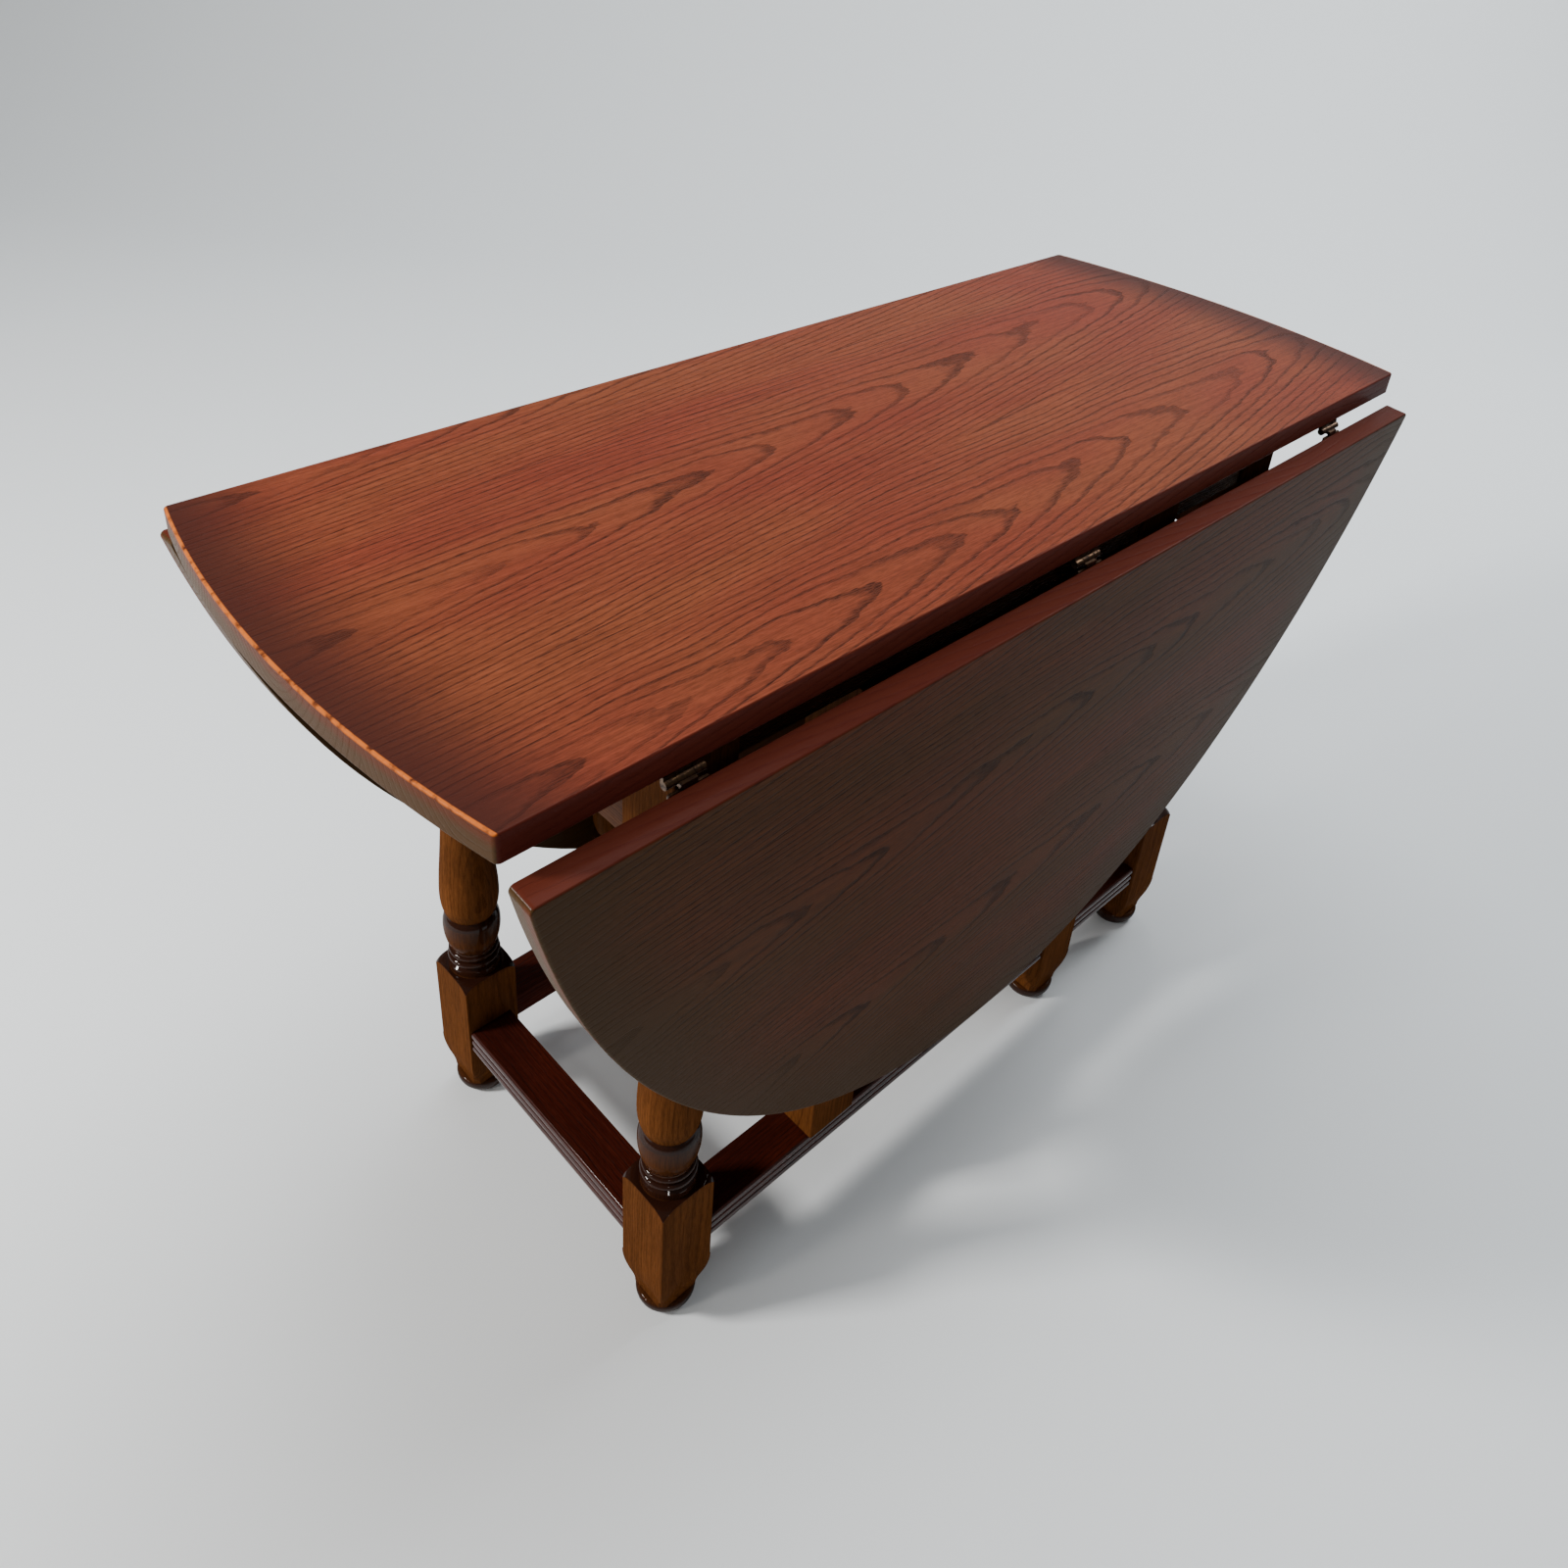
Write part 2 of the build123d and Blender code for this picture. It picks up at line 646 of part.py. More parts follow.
def add_glue_block(x0, x1, y0, y1):
    """A glue block with its screw, and the same pair turned to the other side."""
    place = Pos((x0 + x1) / 2, (y0 + y1) / 2, 0)
    hole = place * screw_hole(fixing_head_radius, fixing_shank_radius, block_bottom, fixing_tip)
    piece = block(x0, x1, y0, y1, block_bottom, underside) - hole
    fixing = place * screw(fixing_head_radius, fixing_shank_radius, block_bottom, fixing_tip,
                           fixing_slot_width, fixing_slot_depth)
    glue_blocks.extend([piece, to_back(piece)])
    fixing_screws.extend([fixing, to_back(fixing)])
    return [hole, to_back(hole)]


for x in (-glue_block_x, glue_block_x):
    centre_top -= add_glue_block(x - half_block, x + half_block,
                                 rail_inner_face, rail_inner_face + glue_block_side)
for y in (-glue_block_y, glue_block_y):
    centre_top -= add_glue_block(end_rail_inner_face, end_rail_inner_face + glue_block_side,
                                 y - half_block, y + half_block)

parts["centre_top"] = centre_top
parts["top_glue_blocks"] = Compound(children=glue_blocks)
parts["top_fixing_screws"] = Compound(children=fixing_screws)

# ------------------------------------------------------------ export

os.makedirs("parts", exist_ok=True)
for name, shape in parts.items():
    export_step(shape, os.path.join("parts", name + ".step"))

print("nodes", len(parts))
print("leaf hangs", round(hang_tilt, 3), "degrees past plumb")
print("leaf joint: y", -board_edge, "z", hinge_z, "range 0 to", round(drop_angle, 3))
print("gate joint: x", -gate_half_span, "y", -leg_y, "full swing", gate_swing)
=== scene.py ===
# %% [markdown]
# # An oval drop leaf table
# The table is stained and lacquered hardwood: a fixed board, two hanging leaves, turned
# legs, reeded stretchers and a gate under each leaf. Every wooden part and every hinge
# already comes from the frame at its real size. This script gives each of them its
# finish, and sets up the floor, the light and the camera.

# %% Load the frame
import json
import math

import bmesh
import bpy
from mathutils import Matrix, Vector


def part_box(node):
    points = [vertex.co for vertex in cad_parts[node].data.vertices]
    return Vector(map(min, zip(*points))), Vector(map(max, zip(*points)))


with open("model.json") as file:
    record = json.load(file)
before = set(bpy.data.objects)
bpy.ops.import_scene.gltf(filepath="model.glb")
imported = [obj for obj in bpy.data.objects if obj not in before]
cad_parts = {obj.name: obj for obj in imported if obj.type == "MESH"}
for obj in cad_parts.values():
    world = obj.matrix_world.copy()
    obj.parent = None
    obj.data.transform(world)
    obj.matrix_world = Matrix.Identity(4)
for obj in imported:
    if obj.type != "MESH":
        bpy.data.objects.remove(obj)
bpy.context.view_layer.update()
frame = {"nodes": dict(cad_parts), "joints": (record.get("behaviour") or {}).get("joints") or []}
nodes = frame["nodes"]

# %% [markdown]
# ## Sizes that the finishes need
# The stain is darker towards the oval's ends and in the grooves of the turning, so the
# materials have to know where those are. They are read from the frame, in metres.

# %% Read the sizes
top_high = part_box("centre_top")[1]
top_height = top_high.z
board_edge = top_high.y
oval_half_length = top_high.x
leg_low, leg_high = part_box("leg_front_left")
leg_centre = (leg_low + leg_high) / 2
gate_low, gate_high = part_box("front_gate_leg")
gate_leg_x = (gate_low.x + gate_high.x) / 2
leaf_joint = [joint for joint in frame["joints"] if joint["name"] == "front_leaf_hinge"][0]
hinge_height = leaf_joint["pos_m"][2]
drop_angle = math.radians(leaf_joint["range_deg"][1])
leaf_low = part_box("front_leaf")[0]
# The leaf's length from the hinge is nearly all that it hangs below the hinge.
oval_half_width = board_edge + (hinge_height - leaf_low.z) / math.cos(drop_angle - math.pi / 2)
print("oval half sizes", round(oval_half_length, 4), round(oval_half_width, 4))
print("leg centre", tuple(round(v, 4) for v in leg_centre), "gate leg x", round(gate_leg_x, 4))

# %% [markdown]
# ## Camera
# The table is seen from above its near left corner. The lens is moderately wide, and a
# small shift keeps the whole table in a square frame.

# %% Place the camera
camera_place = Vector((-0.8174, -0.6959, 1.2456))
view_azimuth = math.radians(-47.315)
view_elevation = math.radians(30.748)
view_roll = math.radians(5.44)
backward = Vector((math.sin(view_azimuth) * math.cos(view_elevation),
                   -math.cos(view_azimuth) * math.cos(view_elevation),
                   math.sin(view_elevation)))
level_right = (-backward).cross(Vector((0, 0, 1))).normalized()
level_up = level_right.cross(-backward)
right = math.cos(view_roll) * level_right + math.sin(view_roll) * level_up
up = -math.sin(view_roll) * level_right + math.cos(view_roll) * level_up
turn = Matrix((right, up, backward)).transposed().to_4x4()
camera_data = bpy.data.cameras.new("camera")
camera_data.sensor_width = 36.0
camera_data.lens = 29.97
camera_data.shift_x = -0.0309
camera_data.shift_y = -0.1523
camera = bpy.data.objects.new("camera", camera_data)
camera.matrix_world = Matrix.Translation(camera_place) @ turn
bpy.context.scene.collection.objects.link(camera)
bpy.context.scene.camera = camera
print("camera at", tuple(camera_place))

# %% [markdown]
# ## Helpers for shader nodes
# A wood finish is a long chain of small sums. These helpers add one node each, and take
# either a number or another node's output for every input.

# %% Node helpers
def plug(tree, socket, value):
    """Sets a socket to a number or colour, or links an output to it."""
    if isinstance(value, bpy.types.NodeSocket):
        tree.links.new(value, socket)
    elif value is not None:
        socket.default_value = value


def add_math(tree, operation, a, b=None, c=None):
    """A Math node's output."""
    node = tree.nodes.new("ShaderNodeMath")
    node.operation = operation
    for socket, value in zip(node.inputs, (a, b, c)):
        plug(tree, socket, value)
    return node.outputs[0]


def add_range(tree, value, low, high, to_low=0.0, to_high=1.0):
    """A smooth ramp of value from low to high."""
    node = tree.nodes.new("ShaderNodeMapRange")
    node.interpolation_type = "SMOOTHSTEP"
    for socket, given in zip(node.inputs[:5], (value, low, high, to_low, to_high)):
        plug(tree, socket, given)
    return node.outputs[0]


def add_noise(tree, vector, scale, detail=2.0, roughness=0.5):
    """A noise texture's value."""
    node = tree.nodes.new("ShaderNodeTexNoise")
    plug(tree, node.inputs["Vector"], vector)
    node.inputs["Scale"].default_value = scale
    node.inputs["Detail"].default_value = detail
    node.inputs["Roughness"].default_value = roughness
    return node.outputs["Fac"]


def add_vector(tree, x, y, z):
    """Three values as one vector."""
    node = tree.nodes.new("ShaderNodeCombineXYZ")
    for socket, value in zip(node.inputs, (x, y, z)):
        plug(tree, socket, value)
    return node.outputs[0]


def split_vector(tree, vector):
    """A vector's three values."""
    node = tree.nodes.new("ShaderNodeSeparateXYZ")
    plug(tree, node.inputs[0], vector)
    return node.outputs


def add_mix(tree, factor, a, b, blend="MIX"):
    """A colour mixed from a to b by factor."""
    node = tree.nodes.new("ShaderNodeMix")
    node.data_type = "RGBA"
    node.blend_type = blend
    plug(tree, node.inputs["Factor"], factor)
    plug(tree, node.inputs[6], a)
    plug(tree, node.inputs[7], b)
    return node.outputs[2]


def new_group(name, inputs, outputs):
    """A shader group with value inputs and defaults; kinds are Float, Color and Vector."""
    tree = bpy.data.node_groups.new(name, "ShaderNodeTree")
    for label, kind, default in inputs:
        socket = tree.interface.new_socket(label, in_out="INPUT", socket_type="NodeSocket" + kind)
        if default is not None:
            socket.default_value = default
    for label, kind in outputs:
        tree.interface.new_socket(label, in_out="OUTPUT", socket_type="NodeSocket" + kind)
    return tree, tree.nodes.new("NodeGroupInput"), tree.nodes.new("NodeGroupOutput")


def use_group(tree, group, **values):
    """Places a group in a tree with these inputs; a space in a label is written as _."""
    node = tree.nodes.new("ShaderNodeGroup")
    node.node_tree = group
    for label, value in values.items():
        plug(tree, node.inputs[label.replace("_", " ")], value)
    return node.outputs


print("node helpers ready")

# %% [markdown]
# ## Plain-sawn grain
# A board cut off-centre from a tapering tree shows its year rings as nested arches, with
# tight straight lines between them. The same geometry makes it here: each point's
# distance from the tree's heart is found, the heart sinks slowly along the board, and
# the distance is cut into rings. The veneer repeats across the board, leaf by leaf, so
# the distance wraps at each leaf's width. The rings' pores are short dark dashes.

# %% Grain group
grain_group, given, made = new_group(
    "plain_sawn_grain",
    [("Along", "Float", 0.0), ("Across", "Float", 0.0), ("Depth", "Float", 0.0),
     ("Leaf Width", "Float", 0.206), ("Ring", "Float", 0.0060), ("Sink", "Float", 0.061),
     ("Heart", "Float", 0.054), ("Drift", "Float", 0.095), ("Seed", "Float", 0.0)],
    [("Line", "Float"), ("Tone", "Float"), ("Streak", "Float"), ("Pore", "Float")])
line_sway = 0.02            # metres that the straight lines wander
heart_sway = 0.016          # metres that the heart wanders slowly
heart_ripple = 0.0042       # metres that the heart wanders within a few rings
ring_start, ring_dark = 0.62, 0.86      # shares of a ring where its dark line fades in
ring_fade = 0.95            # share of a ring where the line starts to fade out
tree = grain_group
along, across, depth = given.outputs["Along"], given.outputs["Across"], given.outputs["Depth"]
seed = given.outputs["Seed"]
slow_place = add_vector(tree, add_math(tree, "MULTIPLY", along, 3.2),
                        add_math(tree, "MULTIPLY", across, 11.0), seed)
slow = add_math(tree, "SUBTRACT", add_noise(tree, slow_place, 1.0, 2.0), 0.5)
ripple_place = add_vector(tree, add_math(tree, "MULTIPLY", along, 26.0),
                          add_math(tree, "MULTIPLY", across, 60.0), seed)
ripple = add_math(tree, "SUBTRACT", add_noise(tree, ripple_place, 1.0, 3.0, 0.6), 0.5)
straight = add_math(tree, "SUBTRACT", across,
                    add_math(tree, "MULTIPLY", along, given.outputs["Drift"]))
swayed = add_math(tree, "ADD", straight, add_math(tree, "MULTIPLY", slow, line_sway))
half_leaf = add_math(tree, "MULTIPLY", given.outputs["Leaf Width"], 0.5)
from_heart = add_math(tree, "WRAP", swayed, half_leaf, add_math(tree, "MULTIPLY", half_leaf, -1.0))
heart = add_math(tree, "MULTIPLY_ADD", along, given.outputs["Sink"], given.outputs["Heart"])
heart = add_math(tree, "ADD", heart, depth)
heart = add_math(tree, "ADD", heart, add_math(tree, "MULTIPLY", slow, heart_sway))
heart = add_math(tree, "ADD", heart, add_math(tree, "MULTIPLY", ripple, heart_ripple))
radius = add_math(tree, "SQRT", add_math(
    tree, "ADD", add_math(tree, "MULTIPLY", from_heart, from_heart),
    add_math(tree, "MULTIPLY", heart, heart)))
ring_count = add_math(tree, "DIVIDE", radius, given.outputs["Ring"])
phase = add_math(tree, "FRACT", ring_count)
ring_index = add_math(tree, "FLOOR", ring_count)
ring_random = tree.nodes.new("ShaderNodeTexWhiteNoise")
ring_random.noise_dimensions = "1D"
tree.links.new(ring_index, ring_random.inputs["W"])
rise_edge = add_range(tree, phase, ring_start, ring_dark)
fall_edge = add_range(tree, phase, ring_fade, 1.0, 1.0, 0.0)
line = add_math(tree, "MULTIPLY", rise_edge, fall_edge)
strength = add_math(tree, "MULTIPLY_ADD", ring_random.outputs["Value"], 0.5, 0.5)
line = add_math(tree, "MULTIPLY", line, strength)
pore_place = add_vector(tree, add_math(tree, "MULTIPLY", along, 95.0),
                        add_math(tree, "MULTIPLY", across, 900.0),
                        add_math(tree, "MULTIPLY", depth, 900.0))
pore = add_range(tree, add_noise(tree, pore_place, 1.0, 2.0, 0.6), 0.44, 0.6)
streak_place = add_vector(tree, add_math(tree, "MULTIPLY", along, 9.0),
                          add_math(tree, "MULTIPLY", across, 260.0),
                          add_math(tree, "MULTIPLY", depth, 260.0))
streak = add_noise(tree, streak_place, 1.0, 3.0, 0.65)
pored_line = add_math(tree, "MULTIPLY", line, add_math(tree, "MULTIPLY_ADD", pore, 0.4, 0.6))
plug(tree, made.inputs["Line"], pored_line)
plug(tree, made.inputs["Tone"], add_math(tree, "ADD", slow, 0.5))
plug(tree, made.inputs["Streak"], streak)
plug(tree, made.inputs["Pore"], pore)
print("grain group nodes", len(grain_group.nodes))

# %% [markdown]
# ## Distance from the oval's edge
# The boards' stain is sprayed darker along the oval's curved edge. The top's arris gets a
# painted orange highlight, and the leaves' arris is pale tan. Both need the distance of a
# point from the oval. For a point near an ellipse, the ellipse's equation divided by its
# slope gives that distance closely.

# %% Oval edge group
oval_group, given, made = new_group(
    "oval_edge",
    [("X", "Float", 0.0), ("Y", "Float", 0.0)],
    [("Distance", "Float")])
tree = oval_group
scaled_x = add_math(tree, "DIVIDE", given.outputs["X"], oval_half_length)
scaled_y = add_math(tree, "DIVIDE", given.outputs["Y"], oval_half_width)
level = add_math(tree, "SQRT", add_math(
    tree, "ADD", add_math(tree, "MULTIPLY", scaled_x, scaled_x),
    add_math(tree, "MULTIPLY", scaled_y, scaled_y)))
slope_x = add_math(tree, "DIVIDE", scaled_x, oval_half_length)
slope_y = add_math(tree, "DIVIDE", scaled_y, oval_half_width)
slope = add_math(tree, "SQRT", add_math(
    tree, "ADD", add_math(tree, "MULTIPLY", slope_x, slope_x),
    add_math(tree, "MULTIPLY", slope_y, slope_y)))
# The floor of 0.2 only keeps the division safe near the oval's middle.
slope = add_math(tree, "MAXIMUM", add_math(tree, "DIVIDE", slope, level), 0.2)
plug(tree, made.inputs["Distance"],
     add_math(tree, "DIVIDE", add_math(tree, "SUBTRACT", 1.0, level), slope))
print("oval group nodes", len(oval_group.nodes))

# %% [markdown]
# ## Stained wood
# One group lays the stain over the grain: a slow drift between two stain colours, fine
# streaks, and the dark rings. It also gives the roughness and the small relief that open
# pores leave under the lacquer.

# %% Stain group
stain_group, given, made = new_group(
    "stained_wood",
    [("Line", "Float", 0.0), ("Tone", "Float", 0.5), ("Streak", "Float", 0.5),
     ("Pore", "Float", 0.0), ("Warm", "Color", (0.2, 0.06, 0.03, 1)),
     ("Cool", "Color", (0.16, 0.05, 0.03, 1)),
     ("Dark", "Color", (0.06, 0.02, 0.015, 1)), ("Figure", "Float", 0.7), ("Shade", "Float", 0.0),
     ("Shade Color", "Color", (0.04, 0.02, 0.018, 1)), ("Matt", "Float", 0.34)],
    [("Color", "Color"), ("Roughness", "Float"), ("Height", "Float")])
tree = stain_group
drift = add_range(tree, given.outputs["Tone"], 0.3, 0.7)
base = add_mix(tree, drift, given.outputs["Cool"], given.outputs["Warm"])
light_streak = add_range(tree, given.outputs["Streak"], 0.25, 0.75, 0.78, 1.2)
streak_color = add_vector(tree, light_streak, light_streak, light_streak)
base = add_mix(tree, 1.0, base, streak_color, "MULTIPLY")
pored = add_math(tree, "MULTIPLY_ADD", given.outputs["Pore"], -0.2, 1.0)
base = add_mix(tree, 1.0, base, add_vector(tree, pored, pored, pored), "MULTIPLY")
ring_factor = add_math(tree, "MULTIPLY", given.outputs["Line"], given.outputs["Figure"])
base = add_mix(tree, ring_factor, base, given.outputs["Dark"])
base = add_mix(tree, given.outputs["Shade"], base, given.outputs["Shade Color"])
plug(tree, made.inputs["Color"], base)
rough = add_math(tree, "MULTIPLY_ADD", given.outputs["Line"], 0.08, given.outputs["Matt"])
rough = add_math(tree, "ADD", rough, add_math(tree, "MULTIPLY", given.outputs["Streak"], 0.06))
plug(tree, made.inputs["Roughness"], rough)
dip = add_math(tree, "MULTIPLY", given.outputs["Line"], -1.0)
pore_dip = add_math(tree, "MULTIPLY", given.outputs["Pore"], -0.15)
plug(tree, made.inputs["Height"], add_math(tree, "ADD", dip, pore_dip))
print("stain group nodes", len(stain_group.nodes))


# %% [markdown]
# ## Finishes
# Each material starts with a lacquered surface: a Principled shader whose coat is the
# lacquer. The helper below makes it, with the relief through one Bump node.

# %% Material helper
def new_finish(name, coat, coat_roughness, specular):
    """A material with a lacquer coat; gives its tree, shader, position and bump node."""
    material = bpy.data.materials.new(name)
    material.use_nodes = True
    tree = material.node_tree
    tree.nodes.clear()
    shader = tree.nodes.new("ShaderNodeBsdfPrincipled")
    output = tree.nodes.new("ShaderNodeOutputMaterial")
    tree.links.new(shader.outputs["BSDF"], output.inputs["Surface"])
    shader.inputs["Coat Weight"].default_value = coat
    shader.inputs["Coat Roughness"].default_value = coat_roughness
    shader.inputs["Specular IOR Level"].default_value = specular
    bump = tree.nodes.new("ShaderNodeBump")
    tree.links.new(bump.outputs["Normal"], shader.inputs["Normal"])
    place = tree.nodes.new("ShaderNodeTexCoord").outputs["Object"]
    return material, tree, shader, place, bump


def lay_wood(tree, shader, bump, stain, relief):
    """Joins the stain group's outputs to the shader."""
    tree.links.new(stain["Color"], shader.inputs["Base Color"])
    tree.links.new(stain["Roughness"], shader.inputs["Roughness"])
    tree.links.new(stain["Height"], bump.inputs["Height"])
    bump.inputs["Strength"].default_value = 0.6
    bump.inputs["Distance"].default_value = relief


def wear(name, material):
    """Gives a node this finish alone."""
    slots = nodes[name].data.materials
    slots.clear()
    slots.append(material)


# %% [markdown]
# ## The boards
# A hanging leaf is the same board as the top, turned down at its hinge. Turning each
# point back up before the grain is worked out lets one recipe serve all three boards, so
# the dark border follows the whole oval. The leaves take darker, browner colours than the
# top, as painted shade for boards that hang out of the light.

# %% Board finish
red_brown = (0.165, 0.034, 0.018, 1)
orange_brown = (0.180, 0.048, 0.021, 1)
ring_brown = (0.034, 0.010, 0.006, 1)
border_brown = (0.042, 0.013, 0.010, 1)
# Painted shade: the four leaf colours below are darker copies of the top's, for leaves that hang
# in shade.
shaded_leaf_brown = (0.092, 0.024, 0.0065, 1)
shaded_leaf_olive = (0.070, 0.025, 0.0055, 1)
shaded_leaf_ring = (0.014, 0.006, 0.003, 1)
shaded_leaf_border = (0.050, 0.025, 0.009, 1)
# Painted highlight: a bright orange for the top's upper arris, where the key light catches it.
arris_highlight_orange = (0.50, 0.125, 0.022, 1)
edge_red = (0.090, 0.026, 0.011, 1)
edge_tan = (0.062, 0.035, 0.015, 1)
joint_red = (0.085, 0.014, 0.009, 1)
leaf_gap = 0.0042           # metres between the fixed board and a raised leaf
figure_offset = 0.048       # metres across, where the veneer's first arches stand
border_reach = 0.1          # metres from the oval's edge, where the dark border ends
border_strength = 0.9


def board_finish(name, side, seed):
    """A board's finish; side is 0 for the top, -1 for the front leaf, 1 for the back one."""
    material, tree, shader, place, bump = new_finish(name, 0.03, 0.12, 0.02)
    if side:
        raised = tree.nodes.new("ShaderNodeVectorRotate")
        raised.rotation_type = "X_AXIS"
        raised.inputs["Center"].default_value = (0, side * board_edge, hinge_height)
        raised.inputs["Angle"].default_value = side * drop_angle
        tree.links.new(place, raised.inputs["Vector"])
        place = raised.outputs["Vector"]
    x, y, z = split_vector(tree, place)
    below = add_math(tree, "SUBTRACT", top_height, z)
    across = add_math(tree, "SUBTRACT", y, figure_offset)
    grain = use_group(tree, grain_group, Along=x, Across=across, Depth=below, Seed=seed)
    edge = use_group(tree, oval_group, X=x, Y=y)["Distance"]
    border = add_range(tree, edge, 0.0, border_reach, border_strength, 0.0)
    on_face = add_range(tree, below, 0.0006, 0.0024, 1.0, 0.0)
    # Painted shade: the leaves' colours are darker, browner copies of the top's, for leaves
    # hanging out of the light.
    warm, cool, dark, border_color = ((shaded_leaf_brown, shaded_leaf_olive, shaded_leaf_ring, shaded_leaf_border) if side
                                      else (orange_brown, red_brown, ring_brown, border_brown))
    stain = use_group(tree, stain_group, Line=grain["Line"], Tone=grain["Tone"],
                      Streak=grain["Streak"], Pore=grain["Pore"], Warm=warm,
                      Cool=cool, Dark=dark, Figure=0.95, Shade=border,
                      Shade_Color=border_color, Matt=0.36)
    lay_wood(tree, shader, bump, stain, 0.0004)
    # The oval's narrow edge is plain tan. The top's upper arris gets a painted orange highlight,
    # broken up by noise; on the leaves the arris is tan.
    arris = edge_tan if side else arris_highlight_orange
    on_edge = add_range(tree, edge, 0.0006, 0.0022, 1.0, 0.0)
    side_color = add_mix(tree, add_range(tree, below, 0.004, 0.013), edge_red, edge_tan)
    rim = add_mix(tree, add_math(tree, "MULTIPLY", on_edge, 0.85), stain["Color"], side_color)
    arris_noise = add_noise(tree, place, 130.0, 3.0)
    arris_breakup = add_range(tree, arris_noise, 0.3, 0.55)
    by_edge = add_range(tree, edge, 0.0018, 0.0028, 1.0, 0.0)
    near_arris = add_math(tree, "MULTIPLY", by_edge, on_face)
    rim = add_mix(tree, add_math(tree, "MULTIPLY", near_arris, arris_breakup), rim, arris)
    # The straight edge at the joint keeps the deepest stain.
    from_joint = add_math(tree, "SUBTRACT", board_edge, add_math(tree, "ABSOLUTE", y))
    if side:
        from_joint = add_math(tree, "SUBTRACT", -leaf_gap, from_joint)
    rim = add_mix(tree, add_range(tree, from_joint, 0.0004, 0.0016, 0.8, 0.0), rim, joint_red)
    tree.links.new(rim, shader.inputs["Base Color"])
    return material


wear("centre_top", board_finish("top_finish", 0, 1.0))
wear("front_leaf", board_finish("front_leaf_finish", -1, 7.0))
wear("back_leaf", board_finish("back_leaf_finish", 1, 13.0))
print("boards finished")

# %% [markdown]
# ## Turned legs
# The legs are golden brown, and the stain gathers in the grooves, on the beads and on
# the shoulders, where it was wiped off least. All of the legs and posts have the same
# turning at the same heights, so the dark bands follow the height.

# %% Leg finish
golden_warm = (0.135, 0.046, 0.012, 1)
golden_cool = (0.090, 0.031, 0.009, 1)
leg_ring = (0.034, 0.010, 0.003, 1)
groove_brown = (0.016, 0.005, 0.003, 1)
# Height in metres, and how dark the stain is there.
turning_shades = [
    (0.0, 0.92), (0.0165, 0.9), (0.019, 0.2), (0.030, 0.05), (0.175, 0.08), (0.178, 0.92),
    (0.2055, 0.85), (0.222, 0.45), (0.240, 0.75), (0.2495, 0.92), (0.253, 0.25),
    (0.270, 0.0), (0.43, 0.15), (0.455, 0.8), (0.485, 0.8), (0.505, 0.2), (0.525, 0.3),
    (0.535, 0.9), (0.5565, 0.9), (0.559, 0.1), (0.74, 0.1)]
shoulder_height = 0.1675    # metres, where the lower block's shoulder starts


def leg_finish():
    """The finish of the legs and the gate posts, with the grain running up."""
    material, tree, shader, place, bump = new_finish("turned_finish", 0.0, 0.05, 0.0)
    x, y, z = split_vector(tree, place)
    grain = use_group(tree, grain_group, Along=z, Across=x, Depth=y, Leaf_Width=0.4, Ring=0.0034,
                      Sink=0.012, Heart=0.09, Drift=0.01, Seed=3.0)
    ramp = tree.nodes.new("ShaderNodeFloatCurve")
    curve = ramp.mapping.curves[0]
    curve.points[0].location = (0.0, turning_shades[0][1])
    curve.points[1].location = (1.0, turning_shades[-1][1])
    for height, shade in turning_shades[1:-1]:
        curve.points.new(height, shade)
    for point in curve.points:
        point.handle_type = "VECTOR"
    ramp.mapping.update()
    tree.links.new(z, ramp.inputs["Value"])
    # A shoulder shares its heights with the flat faces' arches, but only it faces upwards.
    facing = split_vector(tree, tree.nodes.new("ShaderNodeTexCoord").outputs["Normal"])[2]
    shoulder = add_math(tree, "MULTIPLY", add_range(tree, facing, 0.05, 0.25, 0.0, 0.95),
                        add_range(tree, z, shoulder_height - 0.002, shoulder_height + 0.002))
    shade = add_math(tree, "MAXIMUM", ramp.outputs["Value"], shoulder)
    stain = use_group(tree, stain_group, Line=grain["Line"], Tone=grain["Tone"],
                      Streak=grain["Streak"], Pore=grain["Pore"], Warm=golden_warm,
                      Cool=golden_cool, Dark=leg_ring, Figure=0.55, Shade=shade,
                      Shade_Color=groove_brown, Matt=0.26)
    lay_wood(tree, shader, bump, stain, 0.0002)
    # The lacquer is thick and bright on the turning, and rubbed dull on the flat faces.
    lacquer = add_range(tree, shade, 0.4, 0.95, 0.02, 0.38)
    tree.links.new(lacquer, shader.inputs["Coat Weight"])
    return material


turned_finish = leg_finish()
turned = [name for name in nodes
          if name.startswith("leg_") or name.endswith(("gate_leg", "gate_post"))]
for name in turned:
    wear(name, turned_finish)
print("turned pieces", len(turned))

# %% [markdown]
# ## Stretchers and rails
# These are straight pieces with straight, close grain, stained a deeper red brown than
# the legs. A piece that runs across the table has its grain turned with it.

# %% Straight pieces
stretcher_warm = (0.058, 0.0095, 0.0045, 1)
stretcher_cool = (0.030, 0.0060, 0.0035, 1)
stretcher_ring = (0.010, 0.003, 0.002, 1)
rail_warm = (0.070, 0.024, 0.008, 1)
rail_cool = (0.045, 0.016, 0.006, 1)


